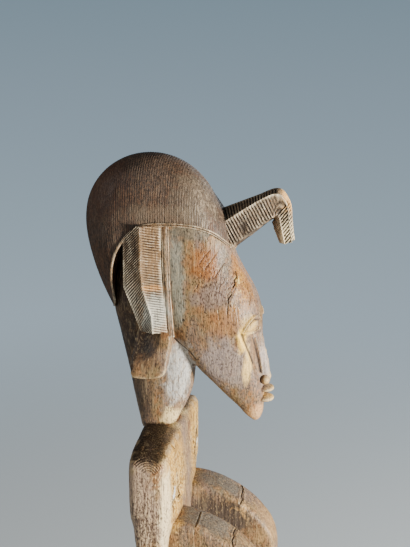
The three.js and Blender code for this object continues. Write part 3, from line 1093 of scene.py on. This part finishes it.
# Marks that handling, oil, soot or wear has left, and some of painted shade and painted highlight, noted
# where they stand. Each is a centre and a size in mm, both across, forward and up, then a colour, how
# strongly it shows and, unless it is a patch, how it breaks up. Every mark lies on both sides of her.
SKIN_MARKS_AND_PAINTED_LIGHT = [
    [(29, 19, 500), (10, 6.5, 48), "8A8B7E", 0.75],
    [(27, 42, 519), (16, 15, 15), "85501F", 0.8],
    # painted shadow under the hair's rim at the side of the forehead
    [(26, 30, 543), (16, 24, 7), "6A665A", 0.7],
    [(22, 58, 520), (10, 9, 14), "625D50", 0.75],
    [(12, 67, 500), (13, 12, 32), "94632B", 0.8],
    [(27, 44, 492), (14, 14, 12), "786761", 0.7],
    [(25, 55, 472), (14, 14, 14), "9C6638", 0.45],
    [(20, 56, 436), (20, 22, 24), "948783", 0.7],
    [(22, 50, 500), (22, 34, 40), "432A1C", 0.7, "specks"],
    [(13, 68, 496), (13, 11, 30), "B88B3C", 0.5, "flaking"],
    [(18, 64, 500), (7, 6, 14), "D6C27A", 0.6, "flecks"],
    [(18, 60, 450), (16, 26, 34), "5B4236", 0.5, "specks"],
    [(19, 75, 468), (9, 8, 10), "E0B862", 0.65],
    # the cheek ridge's yellow band, brightened as a painted highlight where the light catches it
    [(22, 69.5, 457), (6, 5, 11), "F5C860", 0.9],
    [(17, 73, 437), (5, 4.5, 19), "F2CB78", 0.75],
    # painted shade on the floor of the cheek hollow beside the nose
    [(11, 79, 448), (5, 4, 17), "7A5B3C", 0.7],
    [(7, 80, 388), (10, 10, 13), "CC9C68", 0.7],
    [(0, 91, 405), (10, 8, 9), "DDB466", 0.7],
    [(5, 89, 418.5), (5, 5, 5), "CFA254", 0.7],
    [(10, 76, 402), (10, 8, 18), "98683A", 0.6, "flecks"],
    [(3, 88, 440), (5, 7, 30), "A89A94", 0.6],
    # painted highlight: a pale blue-white sheen of the key light on the front of the neck
    [(18, 18, 424), (12, 15, 34), "B9BBB9", 0.75],
    [(16, 12, 410), (14, 24, 34), "7E6F60", 0.75, "flecks"],
    [(13, 12, 384), (10, 12, 10), "ECD39B", 0.7],
    [(15, 14, 392), (12, 14, 18), "8A6E4C", 0.6, "specks"],
    # painted shade on the back of the neck, under the ear
    [(16, -16, 404), (12, 14, 30), "54453A", 0.75],
    # painted shade in the ear's hollow, darkest deep inside it
    [(34, -12, 450), (10, 20, 22), "5B4535", 0.75],
    [(25, -12, 452), (12, 12, 15), "1F150F", 0.97],
    [(33, -17, 448), (8, 5, 16), "33261C", 0.85],
    # painted shade over the back of the neck and head, which face away from the light
    [(10, -28, 470), (40, 20, 70), "332720", 0.85],
    [(44, 20, 342), (36, 10, 46), "BC8F3C", 0.85],
    [(42, 20, 338), (40, 11, 54), "855B2B", 0.6, "flaking"],
    [(42, 20, 334), (44, 11, 60), "4A3019", 0.8, "streaked"],
    [(42, 20, 338), (44, 11, 56), "F3D58C", 0.4, "dusting"],
    # weak painted shade down the middle of the chest, where it turns from the light
    [(0, 20, 335), (16, 9, 60), "857262", 0.3],
    [(49, 21, 332), (7, 6, 11), "E2E8EA", 0.85, "flaking"],
    [(38, 22, 347), (9, 6, 9), "D9D9CC", 0.75, "flaking"],
    [(66, -4, 330), (12, 13, 60), "AC9480", 0.75],
    # pale rubbed front of the arm, brightened further as a painted highlight of its lit band
    [(60, 15, 320), (10, 7, 50), "E3D0A8", 0.75],
    [(66, -4, 292), (12, 10, 34), "AE7840", 0.65, "flaking"],
    [(66, 0, 300), (14, 20, 80), "E0C69B", 0.45, "dusting"],
    [(66, 0, 300), (14, 20, 80), "38271C", 0.6, "specks"],
    [(66, 0, 300), (14, 20, 80), "4A3425", 0.5, "streaked"],
    # painted shadow of the head on the tops of the shoulders, over a dark stain
    [(22, -2, 375.3), (18, 19, 4), "2A1E15", 0.9],
    [(40, -2, 373), (18, 19, 4.5), "2A1E15", 0.9],
    [(58, -3, 369.5), (15, 18, 5), "2A1E15", 0.9],
    # painted shade on the breasts' inner sides, between them
    [(18, 46, 277), (6, 42, 20), "483E37", 0.9],
    [(34, 60, 303), (17, 50, 11), "635D52", 0.85],
    [(19, 71, 286), (5, 16, 14), "DDB070", 0.5, "flaking"],
    [(34, 80, 262), (18, 22, 22), "B08B5C", 0.6],
    [(34, 50, 290), (22, 50, 36), "4A382B", 0.65, "flecks"],
    [(34, 56, 280), (22, 50, 40), "C9A678", 0.2, "dusting"],
    [(37, 92, 154), (15, 14, 12), "A07B52", 0.55],
    [(36, 70, 60), (16, 20, 34), "6A4C35", 0.55],
    [(46, 84, 170), (14, 22, 8), "94714C", 0.6],
    [(38, 92, 18), (18, 30, 10), "54402F", 0.6],
    [(0, -6, 120), (62, 62, 9), "5B4535", 0.6],
    [(0, 26, 15), (84, 84, 8), "4C392B", 0.65],
    [(0, 10, 240), (30, 30, 50), "6D5443", 0.5],
    [(0, -16, 300), (60, 12, 70), "5A4739", 0.6],
]
HAIR_MARKS = [
    [(16, -40, 575), (30, 26, 30), "4A2D1E", 0.7],
    [(20, 35, 570), (26, 22, 24), "655A4C", 0.6],
    [(30, 10, 556), (12, 40, 9), "776957", 0.4],
    [(20, 40, 560), (24, 20, 36), "A08F78", 0.5, "flecks"],
]
PLAIT_MARKS_AND_PAINTED_SHADE = [
    [(36, 0, 524), (12, 14, 26), "8E6D48", 0.75],
    # painted shade on the side plait's back facet, which faces away from the light
    [(32, -17, 524), (9, 8, 34), "54412F", 0.75],
    [(36, 4, 478), (12, 13, 21), "C2C1B4", 0.85],
    [(34, -18, 484), (10, 9, 24), "A39C8C", 0.7],
    [(36, 1, 499), (12, 12, 3), "C98F4C", 0.8],
    [(0, 104, 567), (14, 11, 12), "EEB76C", 0.85],
    [(0, 52, 545), (16, 30, 16), "8E8070", 0.6],
    [(10, 104, 538), (14, 10, 18), "EFDDB4", 0.85],
    [(0, 80, 556), (14, 30, 14), "C9BFA8", 0.6, "flaking"],
]


def started_material(name):
    material = bpy.data.materials.new(name)
    material.use_nodes = True
    return material, material.node_tree, material.node_tree.nodes["Principled BSDF"]


def wood_patterns(tree, place):
    """The noise patterns of the wood, drawn on the given coordinates."""
    made = {}
    for kind, (size, detail, along_grain, swirl) in PATTERNS.items():
        scale = 1 / (size * MM)
        stretch = (scale, scale, scale / along_grain)
        sized = node(tree, "Mapping", {"Vector": place, "Scale": stretch})
        noise_inputs = {"Vector": sized, "Scale": 1, "Detail": detail, "Distortion": swirl}
        made[kind] = node(tree, "TexNoise", noise_inputs)
    return made


def mark_layers(tree, place, pattern, marks):
    """A colour layer for each mark, fading at its broken edge. Folding one side of the figure on to the
    other puts every mark on both."""
    ragged = {
        name: node(tree, "Math", {0: pattern[kind], 1: depth, 2: shift}, operation="MULTIPLY_ADD")
        for name, (kind, depth, shift) in BREAKS.items()
    }
    x, y, z = (node(tree, "SeparateXYZ", {"Vector": place}, axis) for axis in "XYZ")
    one_side = node(tree, "Math", {0: x}, operation="ABSOLUTE")
    folded = node(tree, "CombineXYZ", {"X": one_side, "Y": y, "Z": z})
    layers = []
    for centre, size, tone, strength, *rest in marks:
        breaks = rest[0] if rest else "patch"
        moved = node(tree, "VectorMath", {0: folded, 1: at(*centre)}, operation="SUBTRACT")
        per_size = [1 / (length * MM) for length in size]
        sized = node(tree, "VectorMath", {0: moved, 1: per_size}, operation="MULTIPLY")
        away = node(tree, "VectorMath", {0: sized}, "Value", operation="LENGTH")
        edge = node(tree, "Math", {0: away, 1: ragged[breaks]}, operation="ADD")
        layers.append((edge, 1.15, 0.55, strength, tone))
    return layers


def layered(tree, tone, layers):
    """A colour with layers over it. Each is a value, where it starts to show and where it shows in full,
    how strongly, and its tone."""
    colour = linear(tone)
    for value, low, high, strength, tone in layers:
        inputs = {"Value": value, "From Min": low, "From Max": high, "To Max": strength}
        share = node(tree, "MapRange", inputs, interpolation_type="SMOOTHSTEP")
        colour = node(tree, "Mix", {0: share, 6: colour, 7: linear(tone)}, 2, data_type="RGBA")
    return colour


def aged_wood(name, tones, worn, grime, marks, roughness):
    """A dense tropical hardwood, carved with adze and knife, then oiled and handled for generations. The
    eye sees three tones of patina in patches and speckles, upright grain, pale worn edges, dark grime in
    every cut, and a dull sheen that changes from place to place."""
    material, tree, shader = started_material(name)
    place = node(tree, "TexCoord", {}, "Object")
    pattern = wood_patterns(tree, place)
    patches, blotches, speckle, streaks = (
        pattern[kind] for kind in ("patches", "blotches", "speckle", "streaks")
    )
    broad = node(tree, "Math", {0: patches, 1: blotches}, operation="ADD")
    bend = node(tree, "NewGeometry", {}, "Pointiness")
    handled = node(tree, "Math", {0: blotches, 1: 0.16, 2: bend}, operation="MULTIPLY_ADD")
    cut = node(tree, "Attribute", {}, "Fac", attribute_name="cut")
    colour = layered(tree, tones[0], [
        (patches, 0.4, 0.6, 1, tones[1]),
        (broad, 0.98, 1.3, 0.8, tones[2]),
        (speckle, 0.5, 0.64, 0.7, tones[2]),
        (speckle, 0.5, 0.36, 0.55, grime),
        *mark_layers(tree, place, pattern, marks),
        (speckle, 0.56, 0.7, 0.22, worn),
        (speckle, 0.5, 0.34, 0.4, grime),
        (streaks, 0.5, 0.3, 0.45, grime),
        (streaks, 0.54, 0.7, 0.2, worn),
        (handled, 0.6, 0.66, 0.65, worn),
        (bend, 0.49, 0.42, 0.85, grime),
        (cut, 0.05, 0.6, 0.88, grime),
    ])
    tree.links.new(colour, shader.inputs["Base Color"])

    sheen = {"From Min": 0.3, "From Max": 0.7, "To Min": roughness - 0.09, "To Max": roughness + 0.12}
    shine = node(tree, "MapRange", {"Value": blotches, **sheen})
    dulled = node(tree, "Math", {0: cut, 1: 0.3, 2: shine}, operation="MULTIPLY_ADD")
    tree.links.new(dulled, shader.inputs["Roughness"])
    grain = node(tree, "Math", {0: speckle, 1: 0.8, 2: streaks}, operation="MULTIPLY_ADD")
    relief = node(tree, "Bump", {"Height": grain, "Strength": 0.65, "Distance": 0.7 * MM})
    tree.links.new(relief, shader.inputs["Normal"])
    shader.inputs["Specular IOR Level"].default_value = 0.3
    return material


def finishes():
    """Skin is handled most and shows every tone, hair is blackened, and the plaits are worn pale on top."""
    skin_tones = ("7A6759", "83704F", "7F5431")
    hair_tones = ("54473E", "463A31", "593D2B")
    plait_tones = ("8D7B63", "786751", "865C35")
    return [
        aged_wood("oiled_hardwood_skin", skin_tones, "C9B38A", "2A1D15", SKIN_MARKS_AND_PAINTED_LIGHT, 0.42),
        aged_wood("blackened_hardwood_hair", hair_tones, "85755F", "2A201A", HAIR_MARKS, 0.48),
        aged_wood("worn_hardwood_plaits", plait_tones, "DACFB6", "221811", PLAIT_MARKS_AND_PAINTED_SHADE, 0.46),
    ]


def finished(bm, name, sharp=38):
    bmesh.ops.remove_doubles(bm, verts=bm.verts, dist=1e-6)
    for face in bm.faces:
        face.smooth = True
    for edge in bm.edges:
        if len(edge.link_faces) == 2:
            edge.smooth = edge.calc_face_angle() < math.radians(sharp)
    return shown(bm, name, finishes())


def add_floor():
    """A pale matt floor that fades into the studio's far side, so that no horizon shows."""
    bm = bmesh.new()
    bmesh.ops.create_grid(bm, x_segments=1, y_segments=1, size=4)
    material, tree, shader = started_material("matt_painted_floor")
    shader.inputs["Base Color"].default_value = linear("C3CCD2")
    shader.inputs["Roughness"].default_value = 0.95
    place = node(tree, "TexCoord", {}, "Object")
    reach = node(tree, "VectorMath", {0: place}, "Value", operation="LENGTH")
    solid_within, gone_beyond = 0.3, 1.6
    edge = {"From Min": solid_within, "From Max": gone_beyond, "To Min": 1, "To Max": 0}
    fade = node(tree, "MapRange", {"Value": reach, **edge}, interpolation_type="SMOOTHSTEP")
    tree.links.new(fade, shader.inputs["Alpha"])
    shown(bm, "floor", [material])


def add_world():
    """A pale backdrop all round, brighter low down, that gives the figure only a weak light of its own."""
    world = bpy.data.worlds.new("studio")
    scene.world = world
    world.use_nodes = True
    tree = world.node_tree
    sky = node(tree, "TexCoord", {}, "Generated")
    height = node(tree, "SeparateXYZ", {"Vector": sky}, "Z")
    rise = node(tree, "MapRange", {"Value": height, "From Min": -0.5, "From Max": 0.05})
    low, high = linear("BBCDD9"), linear("8499A8")
    shade = node(tree, "Mix", {0: rise, 6: low, 7: high}, 2, data_type="RGBA")
    backdrop = node(tree, "Background", {"Color": shade, "Strength": 0.9})
    glow = node(tree, "Background", {"Color": linear("9FB0BC"), "Strength": 0.17})
    straight_on = node(tree, "LightPath", {}, "Is Camera Ray")
    chosen = node(tree, "MixShader", {0: straight_on, 1: glow, 2: backdrop})
    tree.links.new(chosen, tree.nodes["World Output"].inputs["Surface"])


add_camera()
add_world()
add_floor()

# A small warm key low at her front right and weak wide fills, by place, aim, size, power and colour
add_light("key", (-0.7, -1.5, 0.42), (0, 0, 0.45), 0.3, 105, (1, 0.94, 0.84))
add_light("front_fill", (0.25, -1.7, 0.55), (0, 0, 0.45), 0.9, 10, (0.9, 0.95, 1))
add_light("back_fill", (-0.9, 1.4, 1.2), (0, 0, 0.45), 1.2, 13, (1, 0.93, 0.86))
add_light("left_fill", (1.6, -0.5, 0.8), (0, 0, 0.4), 1.2, 5, (0.92, 0.96, 1))

figure = finished(carved_figure(), "carved_figure")
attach(figure, "root")
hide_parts("seated_figure")
